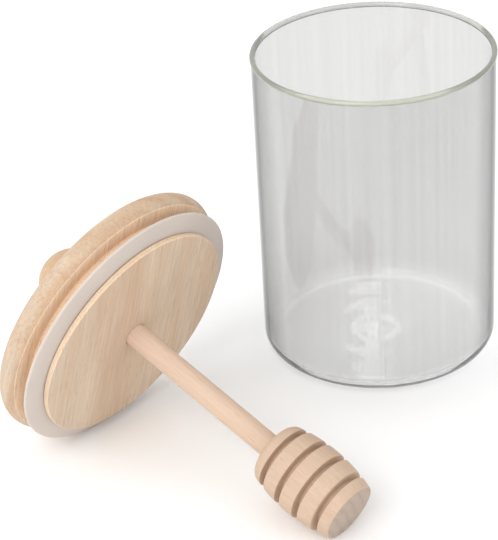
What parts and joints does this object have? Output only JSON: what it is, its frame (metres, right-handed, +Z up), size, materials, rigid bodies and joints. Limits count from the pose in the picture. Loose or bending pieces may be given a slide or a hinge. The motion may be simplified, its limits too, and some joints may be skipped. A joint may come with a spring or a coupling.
{
  "type": "honey jar",
  "caption": "Open clear glass honey jar with its wooden push-in lid lying beside it: turned disc, soft seal, knob on top and a honey dipper fixed underneath.",
  "frame": {"origin": "middle of the jar's flat foot, on the surface that the jar stands on", "axes": "+Z up along the jar's axis; the lid lies towards -X and -Y, with its dipper pointing towards +X and -Y"},
  "size_m": [0.1849, 0.1849, 0.1216],
  "materials": {
    "jar_glass": "clear, smooth, faint yellow-green tint at the rim",
    "lid_wood": "sanded pale hardwood, unvarnished",
    "lid_seal": "milky translucent silicone",
    "knob_wood": "sanded pale hardwood, unvarnished",
    "dipper_wood": "fine-grained turned hardwood, unvarnished"
  },
  "bodies": {
    "root": {"jar_glass": "jar_glass", "lid_board": "lid_wood", "lid_seal": "lid_seal", "lid_knob": "knob_wood", "dipper": "dipper_wood"}
  },
  "joints": []
}
